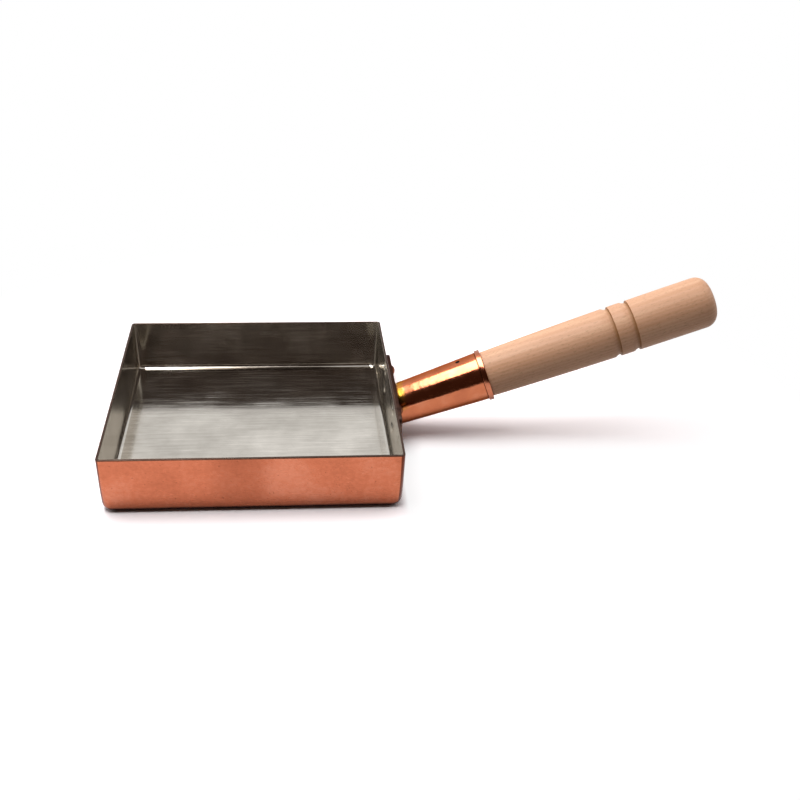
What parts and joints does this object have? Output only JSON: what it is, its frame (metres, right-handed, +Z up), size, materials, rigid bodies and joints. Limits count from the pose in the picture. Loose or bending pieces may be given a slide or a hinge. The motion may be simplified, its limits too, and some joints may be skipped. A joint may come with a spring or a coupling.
{
  "type": "tamagoyaki pan",
  "caption": "Square copper omelette pan with upright walls, a tinned inside, a riveted and brazed copper handle socket and a short turned beech handle.",
  "frame": {"origin": "middle of the tray's flat underside, where it rests on the hob", "axes": "+Z up out of the tray, +X from the tray's middle towards the handle, +Y to its left as the handle points away"},
  "size_m": [0.356, 0.165, 0.1001],
  "materials": {
    "copper_sheet": "satin rolled copper",
    "tin": "wiped tin",
    "copper_fitting": "polished copper",
    "brass_filler": "as brazed",
    "beech": "sanded bare beech",
    "dark_iron": "blackened"
  },
  "bodies": {
    "root": {"pan_body": "copper_sheet", "tin_lining": "tin", "bracket_plate": "copper_fitting", "bracket_rivets": "copper_fitting", "handle_socket": "copper_fitting", "mouth_hoop": "copper_fitting", "braze_fillet": "brass_filler", "wooden_handle": "beech", "handle_nail": "dark_iron"}
  },
  "joints": []
}
